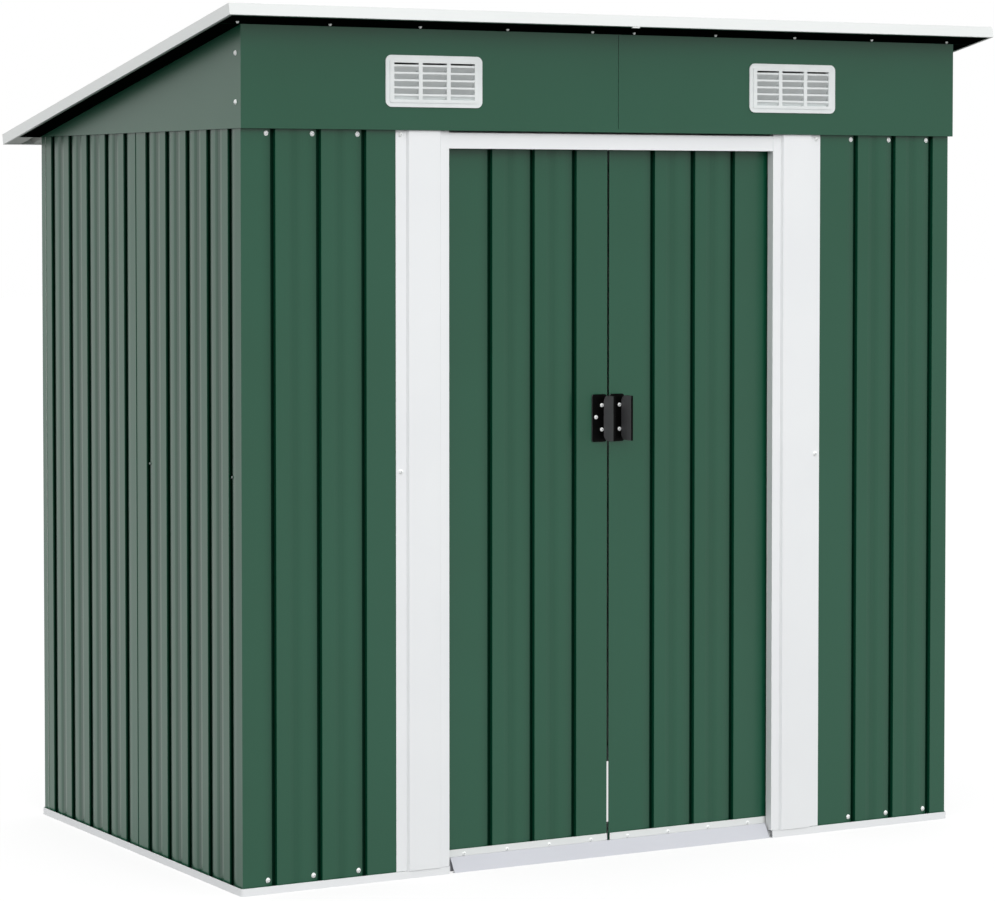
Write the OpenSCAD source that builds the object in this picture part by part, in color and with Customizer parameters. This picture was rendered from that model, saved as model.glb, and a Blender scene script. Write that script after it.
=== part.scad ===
// Metal storage shed with a pent roof and a pair of sliding doors.
// Millimetres, +Z up. The origin is the centre of the footprint on the ground. The doors face -Y.
// A wall is drawn in its own frame: u runs left to right as seen from outside, v runs inwards from
// the outer face, and the sheet's thickness goes inwards.

/* [Walls] */
// Outside width of the walls
wall_w = 1775; // [1600:5:2400]
// Outside depth of the walls
wall_d = 1070; // [900:5:1600]
// Height of the wall sheets' top edge
wall_top = 1563; // [1400:1:1900]
// Thickness of the folded sheet
sheet_t = 1; // [0.8:0.1:1.5]
// Length of the return with which a front or rear sheet wraps the corner
corner_return = 22; // [15:1:30]
// Lap between neighbouring sheets
lap = 18; // [12:1:22]
// Run of the joggle beside a lap
joggle = 3; // [2:0.5:6]

/* [Rolled profile] */
// Distance between grooves
groove_pitch = 104; // [90:1:130]
// Depth of a groove
groove_depth = 12; // [8:0.5:16]
// Width of a groove's slot at the face
slot_w = 10; // [8:0.5:14]
// Width of a groove's floor
slot_floor = 6; // [4:0.5:8]
// Width of the curved shoulder on one side of the slot
shoulder_w = 26; // [6:0.5:30]
// Drop of that shoulder
shoulder_drop = 4; // [1:0.5:5]
// Number of flats that the shoulder's curve is rolled in
shoulder_steps = 4; // [1:1:6]
// Width of the shallow swage in the middle of a flat
swage_w = 32; // [16:1:36]
// Width of the swage's floor
swage_floor = 10; // [3:1:12]
// Depth of the swage
swage_depth = 1.4; // [0.5:0.1:3]
// Shift of the swage from the middle between two grooves, away from the shoulder
swage_shift = 3; // [0:0.5:12]
// Least flat beside the outer grooves of a wall sheet
wall_end_flat = 50; // [45:1:60]
// Shift of the right front sheet's grooves from its middle
right_front_shift = 26; // [0:1:30]

/* [Base] */
// Height of the base rail's outer lip
lip_h = 16; // [10:1:24]
// Projection of the base rail beyond the walls
lip_out = 5; // [3:0.5:10]
// Height of the base rail's inner flange
base_flange_h = 40; // [25:1:60]
// Corner radius of the base rail in plan
base_corner_r = 9; // [6:1:14]

/* [Doorway] */
// Clear width between the door jambs
doorway_w = 816; // [700:2:900]
// Width of a jamb seen from the front
jamb_w = 126; // [100:1:150]
// Width of a jamb's outer flange
jamb_outer_flange = 24; // [18:1:30]
// Width of a jamb's inner flange
jamb_inner_flange = 20; // [14:1:28]
// Height of a jamb's raised middle
jamb_rise = 6; // [4:0.5:12]
// Run of the slopes beside the raised middle
jamb_slope = 4; // [2:0.5:8]
// Height of the header's visible face
header_h = 37; // [30:1:60]
// Height of the slit between the header and the fascia
header_slit = 4; // [2:0.5:6]
// Height of the threshold
threshold_h = 30; // [24:1:36]
// Gap between an end of the threshold and the jamb
threshold_end = 8; // [5:1:30]
// Shift of the threshold towards the right jamb
threshold_shift = 4; // [0:1:4]
// Projection of the threshold's ramp in front of the wall
ramp_out = 2; // [0:1:10]
// Width of the threshold's flat top
ramp_top = 3; // [2:0.5:8]
// Clearance between the threshold and the doors
threshold_gap = 5; // [5:0.5:8]
// Length of the threshold's foot on the ground
ramp_foot = 10; // [8:1:14]

/* [Sliding doors] */
// Depth of the doors' outer face behind the wall's outer face
door_back = 29; // [27:0.5:40]
// Gap between the closed doors
meeting_gap = 5; // [5:0.5:8]
// Lap of a closed door behind its jamb
door_lap = 22; // [15:1:40]
// Height of the doors' bottom edge
door_bottom = 24; // [22:1:30]
// Lap of a door behind the header's face
header_lap = 10; // [8:1:14]
// Depth of the fold along a door sheet's outer edge
door_edge = 15; // [14:0.5:20]
// Least flat beside the outer grooves of a door sheet
door_end_flat = 70; // [60:1:80]
// Shift of the left door's grooves from its middle
left_door_shift = 28; // [0:1:36]
// Shift of the right door's grooves from its middle
right_door_shift = 2; // [0:1:36]
// Height of the top edge of the lip along a door's bottom
door_lip_top = 44; // [36:1:56]
// Room between a door's sheet and the lip along its bottom
door_lip_room = 3; // [1:0.5:5]
// Height of a door's cross rails
door_rail_h = 38; // [25:1:60]
// Depth of a door's cross rails
door_rail_d = 12; // [10:1:20]
// Distance of a slider's middle from the door's edge
slider_inset = 60; // [40:1:90]
// Length of a slider
slider_len = 50; // [30:1:70]
// Running clearance of a slider on its track
slider_gap = 0.3; // [0.2:0.05:0.6]
// Height of the hook of a hanging slider
hook_h = 9; // [6:0.5:12]
// Width of the ledge that a hanging slider rides on
ledge_w = 10; // [8:0.5:14]
// Height of the ledge's underside above a door's top rail
ledge_rise = 7; // [6:0.5:9]
// Thickness of a hanging slider's stem
stem_t = 6; // [4:0.5:8]
// Side clearance of a slider in its track
slider_side = 2; // [1.5:0.5:4]
// Height of the lower track's rib
rib_h = 16; // [12:1:17]
// Width of the lower track's rib
rib_w = 4; // [3:0.5:6]
// Height of a lower slider's underside
shoe_bottom = 7; // [5:1:9]
// Room above the lower track's rib inside a slider
rib_room = 3; // [2:0.5:5]
// Width of the lower track behind the middle of its rib
track_tail = 13; // [8:1:20]
// Length of the tracks past the open doors
track_past = 10; // [5:1:20]

/* [Handles] */
// Width of a handle's plate
handle_w = 36; // [28:1:48]
// Height of a handle's plate
handle_h = 103; // [80:1:130]
// Thickness of a handle's plate
handle_t = 3; // [2:0.5:5]
// Corner radius of a handle's plate
handle_r = 5; // [2:0.5:10]
// Height of the handle's middle
handle_z = 948; // [800:1:1100]
// Distance of the left handle's plate from the meeting edge of its door
left_handle_inset = 3; // [0:0.5:10]
// Distance of the right handle's plate from the meeting edge of its door
right_handle_inset = 0.5; // [0:0.5:10]
// Room between an open door's handle and the jamb
handle_room = 6.5; // [5:0.5:20]
// Reach of the fin in front of the door
fin_reach = 43; // [25:1:45]
// Thickness of the fin
fin_t = 5; // [4:0.5:8]
// Distance of the fin from the plate's right edge
fin_edge = 2; // [1:0.5:6]
// Height of the fin
fin_h = 97; // [60:1:100]
// Radius of the fin's corners beside the plate
fin_r = 18; // [8:1:22]

/* [Fascia, gables and vents] */
// Projection of the fascia in front of the wall
fascia_out = 12; // [6:1:20]
// Reach of the fascia's lower flange behind the wall sheets
fascia_return = 20; // [12:1:24]
// Projection of the gables beyond the side walls
gable_out = 5; // [3:0.5:10]
// Room between the roof's trim and the fascia's and gables' flanges under the roof
flange_room = 4; // [2:0.5:20]
// Gap between the fascia's halves
seam_gap = 1.2; // [0.6:0.1:3]
// Height above the fascia's lower edge where that gap starts
seam_foot = 8; // [4:1:15]
// Width of a vent
vent_w = 228; // [180:1:260]
// Height of a vent
vent_h = 107; // [80:1:140]
// Distance of a vent's middle from the middle of the front
vent_x = 450; // [300:5:600]
// Height of a vent's middle above the wall's top edge
vent_rise = 101; // [80:1:120]
// Thickness of a vent's outer rim
vent_edge_t = 3; // [2:0.5:5]
// Thickness of a vent's raised inner rim
vent_rim_t = 4.5; // [3:0.5:6]
// Width of a vent's outer rim
vent_edge_w = 9; // [5:0.5:11]
// Depth of a vent's body behind the fascia
vent_depth = 11; // [8:1:16]
// Corner radius of a vent
vent_r = 13; // [6:1:20]
// Width of a vent's rim at its sides
vent_side = 19; // [14:1:26]
// Width of a vent's rim at its top and bottom
vent_end = 15.5; // [13:0.5:24]
// Wall of a vent's body
vent_wall = 4; // [2:0.5:6]
// Width of the bars between a vent's columns
vent_bar = 9; // [5:0.5:14]
// Number of a vent's columns
vent_columns = 3; // [2:1:5]
// Number of louvres in a column
vent_rows = 5; // [3:1:6]
// Distance between louvres
louvre_pitch = 15.1; // [13:0.1:18]
// Height of a louvre's front face
louvre_face = 4; // [3:0.5:5]
// Height of a louvre's rear face
louvre_rear = 2.5; // [1.5:0.1:3]
// Fall of a louvre from its front to its rear
louvre_fall = 13; // [10:0.5:16]
// Distance of the louvres behind the rim's face and in front of the body's rear
louvre_inset = 1; // [0.5:0.1:2]
// Height of the lowest louvre's front above the foot of the opening
louvre_first = 7.7; // [5:0.1:9]

/* [Roof] */
// Pitch of the roof in degrees
roof_pitch = 11; // [6:0.5:16]
// Overhang of the roof at each side
eave_side = 62.5; // [50:0.5:100]
// Overhang of the roof at the front
eave_front = 85; // [75:1:140]
// Overhang of the roof at the rear
eave_rear = 85; // [60:1:140]
// Height of the roof's edge trim
trim_h = 24; // [22:0.5:40]
// Width of the trim's lower lip
trim_lip = 5; // [4:0.5:24]
// Width of the trim's upper lip
trim_cover = 22; // [10:1:40]
// Length of the joint in the middle of the front trim
trim_joint = 18; // [10:1:40]
// Drop of that joint below the trim
trim_joint_drop = 3; // [1:0.5:6]
// Play of the roof sheets in the trim
roof_play = 0.5; // [0.3:0.1:2]
// Width of a roof rib at its foot
roof_rib_w = 28; // [20:1:40]
// Width of a roof rib's crown
roof_rib_top = 14; // [8:1:18]
// Height of a roof rib
roof_rib_h = 14; // [8:0.5:18]
// Height of a roof beam
beam_h = 46; // [30:1:60]
// Width of a roof beam's flanges
beam_w = 32; // [20:1:50]
// Distance of each roof beam from the middle of the roof
beam_y = 190; // [100:5:300]

/* [Wall rails] */
// Height of the middle rails' centre
mid_rail_z = 852; // [600:1:1100]
// Height of the middle rails
mid_rail_h = 40; // [25:1:60]
// Depth of the wall rails
rail_d = 22; // [15:1:35]
// Height of the top rails' upright leg
top_rail_h = 40; // [25:1:60]
// Distance of a wall rail's end from the corner
rail_end = 75; // [70:1:120]

/* [Hidden] */
$fn = 48;
eps = 0.01;
half_w = wall_w / 2;
half_d = wall_d / 2;
rear_third = wall_w / 3;
green = [0.21, 0.36, 0.29];
white = [0.92, 0.93, 0.94];
zinc = [0.78, 0.8, 0.82];
black = [0.06, 0.06, 0.065];

// Depth of the plane, behind a wall's outer face, where rails meet the groove floors
seat = groove_depth + sheet_t;
// The side sheets lie under the corner returns
side_half = half_w - sheet_t;
base_w = half_w + lip_out;
base_d = half_d + lip_out;
// Plan width that a mitred corner is cut over
mitre = 80;

doorway = doorway_w / 2;
jamb_edge = doorway + jamb_w;
panel_end = jamb_edge - jamb_outer_flange + jamb_slope;
header_bottom = wall_top - header_h;

// Front wall's frame for the doors: distances behind the wall's outer face
door_lip_in = door_back - door_lip_room;
threshold_in = door_lip_in - sheet_t - threshold_gap;
threshold_half = doorway - threshold_end;
header_top = wall_top - header_slit;
door_in = door_back + seat;
rail_in = door_in + door_rail_d;
door_top = header_bottom + header_lap;
door_rail_top = door_top - sheet_t - slider_side;
ledge_z = door_rail_top + ledge_rise;
stem_in = door_in + stem_t;
ledge_in = stem_in + slider_side;
track_in = ledge_in + ledge_w;
hook_in = track_in - sheet_t - slider_side;
rib_mid = door_in + door_rail_d / 2;
leaf_near = meeting_gap / 2;
leaf_far = doorway + door_lap;
door_travel = doorway - leaf_near - max(left_handle_inset, right_handle_inset) - handle_w - handle_room;
track_end = leaf_far + door_travel + track_past;

fascia_y = -half_d - fascia_out;
gable_x = half_w + gable_out;
// The fascia's lower flange and end return reach back over the header's track
fascia_in = seat + fascia_return;
// The flanges under the roof end just inside its trim
fascia_flange = eave_front - fascia_out - trim_lip - flange_room;
flange_half = half_w + eave_side - trim_lip - flange_room;

roof_half = half_w + eave_side;
roof_third = 2 * (roof_half - sheet_t - roof_play) / 3;
roof_tan = tan(roof_pitch);
trim_top = trim_h - sheet_t;
// Ends of the roof along its slope, from the line where it crosses the rear wall's top edge
roof_low = (eave_rear - trim_top * sin(roof_pitch)) / cos(roof_pitch);
roof_high = -(2 * half_d + eave_front) / cos(roof_pitch) + sheet_t * roof_tan;

// Folded sheet: the outline of a strip that follows a path, with its thickness on the path's left
function heading(a, b) = (b - a) / norm(b - a);
function left_of(a, b) = let (h = heading(a, b)) [-h[1], h[0]];
function mitre_at(path, i) =
    let (last = len(path) - 1,
         before = left_of(path[max(i - 1, 0)], path[max(i, 1)]),
         after = left_of(path[min(i, last - 1)], path[min(i + 1, last)]))
    (before + after) / (1 + before * after);
function strip(path, t = sheet_t) =
    concat(path, [for (i = [len(path) - 1:-1:0]) path[i] + t * mitre_at(path, i)]);

// Rolled profile of the wall and door sheets
function shoulder(u) = [
    for (i = [0:shoulder_steps])
        let (part = i / shoulder_steps) [u - shoulder_w * (1 - part), shoulder_drop * part * part]];
function groove_right(u) = concat(shoulder(u - slot_w / 2), [
    [u - slot_floor / 2, groove_depth],
    [u + slot_floor / 2, groove_depth],
    [u + slot_w / 2, 0]]);
function mirrored(points) = [for (i = [len(points) - 1:-1:0]) [-points[i][0], points[i][1]]];
function groove(u, side) = side > 0 ? groove_right(u) : mirrored(groove_right(-u));
function swage(u) = [
    [u - swage_w / 2, 0],
    [u - swage_floor / 2, swage_depth],
    [u + swage_floor / 2, swage_depth],
    [u + swage_w / 2, 0]];
function places(u0, u1, end_flat, shift = 0) =
    let (count = max(1, floor((u1 - u0 - 2 * end_flat) / groove_pitch) + 1),
         first = (u0 + u1 - (count - 1) * groove_pitch) / 2 + shift)
    [for (i = [0:count - 1]) first + i * groove_pitch];
function bends(at, side) = [
    for (i = [0:len(at) - 1])
        each concat(groove(at[i], side),
                    i < len(at) - 1 ? swage((at[i] + at[i + 1]) / 2 - side * swage_shift) : [])];
// Start of a sheet that slips under its neighbour's edge at u
function lapped(u) = [[u - lap, sheet_t], [u + joggle, sheet_t], [u + 2 * joggle, 0]];

// Height of the roof sheets' underside at y
function roof_z(y) = wall_top + (half_d - y) * roof_tan;
// Lower face of a sheet against the roof's underside, in the front wall's frame
function under_roof(v) = [v, roof_z(v - half_d) - sheet_t / cos(roof_pitch)];

// Children are drawn in a wall's frame: angle 0 is the front, 90 the right, 180 the rear, -90 the left
module wall(angle, distance) { rotate([0, 0, angle]) translate([0, -distance, 0]) children(); }

// Sheet folded along a plan path and standing between two heights
module upright(path, z0, z1) {
    translate([0, 0, z0]) linear_extrude(z1 - z0) polygon(strip(path));
}

// Cross-section with horizontal and vertical axes, drawn out along the wall
module along(u0, u1) {
    translate([u0, 0, 0]) rotate([90, 0, 90]) linear_extrude(u1 - u0) children();
}

// Children are drawn on the roof's underside: y runs down the slope, z is square to it
module on_roof() {
    translate([0, half_d, wall_top]) rotate([-roof_pitch, 0, 0]) children();
}

// Rounded block between two heights
module round_block(half_x, half_y, r, z0, z1) {
    translate([0, 0, z0]) {
        translate([-half_x, -half_y + r, 0]) cube([2 * half_x, 2 * (half_y - r), z1 - z0]);
        translate([-half_x + r, -half_y, 0]) cube([2 * (half_x - r), 2 * half_y, z1 - z0]);
        for (x = [-1, 1], y = [-1, 1])
            translate([x * (half_x - r), y * (half_y - r), 0]) cylinder(h = z1 - z0, r = r);
    }
}

// Square block between two heights
module block(half_x, half_y, z0, z1) {
    translate([-half_x, -half_y, z0]) cube([2 * half_x, 2 * half_y, z1 - z0]);
}

// Plan of one side of a rectangular frame with mitred corners
module mitred_side(angle, half_x, half_y, z0, z1) {
    along_half = angle % 180 == 0 ? half_x : half_y;
    across_half = angle % 180 == 0 ? half_y : half_x;
    rotate([0, 0, angle]) translate([0, -across_half, z0]) linear_extrude(z1 - z0)
        polygon([[-along_half, 0], [along_half, 0], [along_half - mitre, mitre],
                 [mitre - along_half, mitre]]);
}

// Channel round the whole base: web on the ground, outer lip and inner flange
module base_channel() {
    flange_x = side_half - seat;
    flange_y = half_d - seat;
    difference() {
        round_block(base_w, base_d, base_corner_r, 0, base_flange_h);
        difference() {
            round_block(base_w - sheet_t, base_d - sheet_t, base_corner_r - sheet_t, sheet_t, lip_h + eps);
            block(flange_x, flange_y, 0, base_flange_h);
        }
        difference() {
            block(base_w + 1, base_d + 1, lip_h, base_flange_h + 1);
            block(flange_x, flange_y, 0, base_flange_h + 2);
        }
        block(flange_x - sheet_t, flange_y - sheet_t, -1, base_flange_h + 1);
    }
}
module base_rail(angle) {
    color(white) intersection() {
        base_channel();
        mitred_side(angle, base_w, base_d, -1, base_flange_h + 1);
    }
}
module base_rail_front() {
    color(white) difference() {
        base_rail(0);
        block(doorway + sheet_t, wall_d, -1, base_flange_h + 1);
    }
}
module base_rail_rear() { base_rail(180); }
module base_rail_left() { base_rail(-90); }
module base_rail_right() { base_rail(90); }

// Ramp, flat top and rear leg, open underneath
module door_threshold() {
    path = [[threshold_in, 0], [threshold_in, threshold_h], [threshold_in - ramp_top, threshold_h],
            [-ramp_out, 0], [ramp_foot - ramp_out, 0]];
    color(white) wall(0, half_d) along(threshold_shift - threshold_half, threshold_shift + threshold_half)
        polygon(strip(path));
}

// Ribbed floor rail that both doors' lower sliders straddle
module lower_door_track() {
    rib = rib_w / 2 - sheet_t;
    path = [[threshold_in, 0], [rib_mid - rib, 0], [rib_mid - rib, rib_h - sheet_t],
            [rib_mid + rib, rib_h - sheet_t], [rib_mid + rib, 0], [rib_mid + track_tail, 0]];
    color(zinc) wall(0, half_d) along(-track_end, track_end) polygon(strip(path));
}

module wall_sheet(angle, distance, path) {
    color(green) wall(angle, distance) upright(path, sheet_t, wall_top);
}
module front_left_panel() {
    at = places(-half_w, -jamb_edge, wall_end_flat);
    wall_sheet(0, half_d, concat([[-half_w, corner_return], [-half_w, 0]], bends(at, 1), [[-panel_end, 0]]));
}
module front_right_panel() {
    at = places(jamb_edge, half_w, wall_end_flat, right_front_shift);
    wall_sheet(0, half_d, concat([[panel_end, 0]], bends(at, 1), [[half_w, 0], [half_w, corner_return]]));
}

// Two sheets close a side wall; in each wall's frame the first one ends over the second one's lap
module side_first_sheet(angle, side) {
    at = places(-half_d, 0, wall_end_flat);
    wall_sheet(angle, side_half, concat([[-half_d + sheet_t, 0]], bends(at, side), [[0, 0]]));
}
module side_second_sheet(angle, side) {
    at = places(0, half_d, wall_end_flat);
    wall_sheet(angle, side_half, concat(lapped(0), bends(at, side), [[half_d - sheet_t, 0]]));
}
module left_wall_front_panel() { side_second_sheet(-90, -1); }
module left_wall_rear_panel() { side_first_sheet(-90, -1); }
module right_wall_front_panel() { side_first_sheet(90, 1); }
module right_wall_rear_panel() { side_second_sheet(90, 1); }

// Three sheets close the rear wall, whose frame runs from the shed's right to its left
module rear_wall_right_panel() {
    at = places(-half_w, rear_third - half_w, wall_end_flat);
    wall_sheet(180, half_d, concat([[-half_w, corner_return], [-half_w, 0]], bends(at, 1),
                                   [[rear_third - half_w, 0]]));
}
module rear_wall_middle_panel() {
    at = places(-rear_third / 2, rear_third / 2, wall_end_flat);
    wall_sheet(180, half_d, concat(lapped(-rear_third / 2), bends(at, 1), [[rear_third / 2, 0]]));
}
module rear_wall_left_panel() {
    at = places(half_w - rear_third, half_w, wall_end_flat);
    wall_sheet(180, half_d, concat(lapped(half_w - rear_third), bends(at, 1),
                                   [[half_w, 0], [half_w, corner_return]]));
}

// Channels inside the side and rear walls
module mid_rail(angle, distance, half_len) {
    low = mid_rail_z - mid_rail_h / 2;
    path = [[seat + rail_d, low + mid_rail_h], [seat, low + mid_rail_h], [seat, low], [seat + rail_d, low]];
    wall(angle, distance) along(-half_len, half_len) polygon(strip(path));
}
module wall_mid_rails() {
    color(zinc) {
        mid_rail(-90, side_half, half_d - rail_end);
        mid_rail(90, side_half, half_d - rail_end);
        mid_rail(180, half_d, half_w - rail_end);
    }
}

// Angles along the walls' top edges; the rear one slopes with the roof and carries it
module top_rail(angle, distance, half_len, slope) {
    path = [[seat + rail_d, wall_top + (seat + rail_d) * slope], [seat, wall_top + seat * slope],
            [seat, wall_top - top_rail_h]];
    wall(angle, distance) along(-half_len, half_len) polygon(strip(path));
}
module wall_top_rails() {
    color(zinc) {
        top_rail(-90, side_half, half_d - rail_end, 0);
        top_rail(90, side_half, half_d - rail_end, 0);
        top_rail(180, half_d, half_w - rail_end, roof_tan);
    }
}

// Hat section beside the doorway with a return towards the doors, drawn for the left side
function jamb_path() = [
    [-jamb_edge, -sheet_t],
    [-jamb_edge + jamb_outer_flange, -sheet_t],
    [-jamb_edge + jamb_outer_flange + jamb_slope, -sheet_t - jamb_rise],
    [-doorway - jamb_inner_flange - jamb_slope, -sheet_t - jamb_rise],
    [-doorway - jamb_inner_flange, -sheet_t],
    [-doorway, -sheet_t],
    [-doorway, threshold_in]];
// The return is cut back where the header's track passes behind it
module door_jamb(path) {
    color(white) difference() {
        wall(0, half_d) upright(path, lip_h, wall_top);
        block(jamb_edge, half_d - seat, header_bottom, wall_top + 1);
    }
}
module left_door_jamb() { door_jamb(jamb_path()); }
module right_door_jamb() { door_jamb(mirrored(jamb_path())); }

// Face over the doorway, between the jambs, and the doors' upper track, which runs on behind both
// front sheets
module door_header() {
    track = [[ledge_in, ledge_z], [track_in, ledge_z], [track_in, header_top], [seat, header_top],
             [seat, header_bottom]];
    face = [[seat + sheet_t, header_top], [0, header_top], [0, header_bottom]];
    color(white) wall(0, half_d) {
        along(-track_end, track_end) polygon(strip(track));
        along(-doorway, doorway) polygon(strip(face));
    }
}

// Fascia half with its vent opening and half of the middle seam, drawn for the left side; the flange
// under the roof runs on past the gable
module fascia() {
    face = fascia_y + half_d;
    path = [under_roof(face - fascia_flange), under_roof(face), [face, wall_top], [fascia_in, wall_top]];
    flange = [under_roof(face - fascia_flange), under_roof(face - sheet_t)];
    seam_h = roof_z(fascia_y) - wall_top - seam_foot - 3 * sheet_t;
    end = [[face + sheet_t, wall_top + sheet_t], [fascia_in, wall_top + sheet_t],
           [fascia_in, roof_z(fascia_in - half_d)], [face + sheet_t, roof_z(fascia_y + sheet_t)]];
    color(green) difference() {
        wall(0, half_d) {
            along(sheet_t - gable_x, 0) polygon(strip(path));
            along(-flange_half, 2 * sheet_t - gable_x) polygon(strip(flange));
            along(sheet_t - gable_x, 2 * sheet_t - gable_x) polygon(end);
        }
        translate([-vent_x, fascia_y, wall_top + vent_rise])
            cube([vent_w - 2 * vent_side + 2 * vent_wall, 4 * sheet_t, vent_h - 2 * vent_end + 2 * vent_wall],
                 center = true);
        translate([-seam_gap / 2, fascia_y - sheet_t, wall_top + seam_foot])
            cube([seam_gap, 3 * sheet_t, seam_h]);
        on_roof() translate([-wall_w, -2 * wall_d, 0]) cube([2 * wall_w, 4 * wall_d, wall_top]);
    }
}
module front_fascia_left() { fascia(); }
module front_fascia_right() { mirror([1, 0, 0]) fascia(); }

// Triangular gable sheet with a foot on the side wall and a flange under the roof, on the left side
module gable() {
    foot_y = fascia_in - half_d + sheet_t;
    flange_len = (half_d - fascia_y) / cos(roof_pitch);
    color(green) difference() {
        union() {
            translate([-gable_x, fascia_y, wall_top])
                cube([sheet_t, half_d - fascia_y, roof_z(fascia_y) - wall_top]);
            translate([-gable_x, foot_y, wall_top])
                cube([gable_out + sheet_t + seat + rail_d, half_d - foot_y, sheet_t]);
            on_roof() translate([-flange_half, -flange_len, -sheet_t])
                cube([flange_half - gable_x + sheet_t, flange_len, sheet_t]);
        }
        on_roof() translate([-wall_w, -2 * wall_d, 0]) cube([2 * wall_w, 4 * wall_d, wall_top]);
    }
}
module left_gable() { gable(); }
module right_gable() { mirror([1, 0, 0]) gable(); }

// Moulded vent: a stepped rim on the fascia's face and a body in its opening, with louvres that fall inwards
module vent() {
    open_w = vent_w - 2 * vent_side;
    open_h = vent_h - 2 * vent_end;
    column_w = (open_w - (vent_columns - 1) * vent_bar) / vent_columns;
    depth = vent_rim_t + vent_depth;
    front = louvre_inset - vent_rim_t;
    rear = vent_depth - louvre_inset;
    color(white) translate([0, fascia_y, wall_top + vent_rise]) {
        difference() {
            union() {
                rotate([90, 0, 0]) {
                    round_block(vent_w / 2, vent_h / 2, vent_r, 0, vent_edge_t);
                    round_block(vent_w / 2 - vent_edge_w, vent_h / 2 - vent_edge_w, vent_r - vent_edge_w, 0,
                                vent_rim_t);
                }
                translate([-open_w / 2 - vent_wall, 0, -open_h / 2 - vent_wall])
                    cube([open_w + 2 * vent_wall, vent_depth, open_h + 2 * vent_wall]);
            }
            for (i = [0:vent_columns - 1])
                translate([-open_w / 2 + i * (column_w + vent_bar), -vent_rim_t - 1, -open_h / 2])
                    cube([column_w, depth + 2, open_h]);
        }
        intersection() {
            translate([0, 0, louvre_first - open_h / 2])
                for (k = [0:vent_rows - 1])
                    translate([0, 0, k * louvre_pitch])
                        along(-open_w / 2 - vent_wall / 2, open_w / 2 + vent_wall / 2)
                            polygon([[front, 0], [rear, -louvre_fall], [rear, louvre_rear - louvre_fall],
                                     [front, louvre_face]]);
            translate([-vent_w / 2, -vent_rim_t, -open_h / 2 - vent_wall / 2])
                cube([vent_w, depth, open_h + vent_wall / 2]);
        }
    }
}
module left_vent() { translate([-vent_x, 0, 0]) vent(); }
module right_vent() { translate([vent_x, 0, 0]) vent(); }

// Three ribbed sheets lie side by side on the roof
function roof_rib(u) = [
    [u - roof_rib_w / 2, 0],
    [u - roof_rib_top / 2, roof_rib_h],
    [u + roof_rib_top / 2, roof_rib_h],
    [u + roof_rib_w / 2, 0]];
module roof_panel(index) {
    u0 = (index - 1.5) * roof_third;
    start = index == 0 ? [[u0, 0]] : lapped(u0);
    at = places(u0, u0 + roof_third, wall_end_flat);
    path = concat(start, [for (u = at) each roof_rib(u)], [[u0 + roof_third, 0]]);
    length = roof_low - roof_high - 2 * (sheet_t + roof_play);
    color(green) on_roof() translate([0, roof_low - sheet_t - roof_play, 0])
        rotate([90, 0, 0]) linear_extrude(length) polygon(strip(path));
}
module roof_panel_left() { roof_panel(0); }
module roof_panel_middle() { roof_panel(1); }
module roof_panel_right() { roof_panel(2); }

// Channels across the shed that carry the roof sheets between the gables
module roof_beams() {
    color(zinc) for (y = [-beam_y, beam_y]) {
        down = (y - half_d) / cos(roof_pitch);
        path = [[down + beam_w, -sheet_t - beam_h], [down, -sheet_t - beam_h], [down, -sheet_t],
                [down + beam_w, -sheet_t]];
        on_roof() along(sheet_t - gable_x, gable_x - sheet_t) polygon(strip(path, -sheet_t));
    }
}

// Edge trim round the roof: a lip under the sheets, an upright and a cover lip, mitred at the corners
module roof_trim(angle) {
    half_len = (roof_low - roof_high) / 2;
    color(white) on_roof() translate([0, (roof_low + roof_high) / 2, 0]) intersection() {
        difference() {
            block(roof_half, half_len, -sheet_t, trim_top);
            block(roof_half - sheet_t, half_len - sheet_t, 0, trim_top - sheet_t);
            block(roof_half - trim_lip, half_len - trim_lip, -1 - sheet_t, sheet_t);
            block(roof_half - trim_cover, half_len - trim_cover, sheet_t, trim_h);
        }
        mitred_side(angle, roof_half, half_len, -trim_h, 2 * trim_h);
    }
}
module roof_trim_front() {
    color(white) {
        roof_trim(0);
        on_roof() translate([-trim_joint / 2, roof_high + sheet_t, -sheet_t - trim_joint_drop])
            cube([trim_joint, trim_lip - sheet_t, trim_joint_drop + sheet_t]);
    }
}
module roof_trim_rear() { roof_trim(180); }
module roof_trim_left() { roof_trim(-90); }
module roof_trim_right() { roof_trim(90); }

// Door sheet between two edges, with a fold behind the edge that is further from the middle
module door_panel(u0, u1, shift) {
    at = places(u0, u1, door_end_flat, shift);
    left_fold = u0 < 0 ? [[u0, door_edge]] : [];
    right_fold = u1 > 0 ? [[u1, door_edge]] : [];
    path = concat(left_fold, [[u0, 0]], bends(at, 1), [[u1, 0]], right_fold);
    color(green) wall(0, half_d - door_back) upright(path, door_bottom, door_top);
}
module left_door_panel() { door_panel(-leaf_far, -leaf_near, left_door_shift); }
module right_door_panel() { door_panel(leaf_near, leaf_far, right_door_shift); }

// Channel across the back of a door's top
module door_top_rail(u0, u1) {
    low = door_rail_top - door_rail_h;
    path = [[rail_in, door_rail_top], [door_in, door_rail_top], [door_in, low], [rail_in, low]];
    color(zinc) wall(0, half_d) along(u0 + sheet_t, u1 - sheet_t) polygon(strip(path));
}
module left_door_top_rail() { door_top_rail(-leaf_far, -leaf_near); }
module right_door_top_rail() { door_top_rail(leaf_near, leaf_far); }

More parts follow.
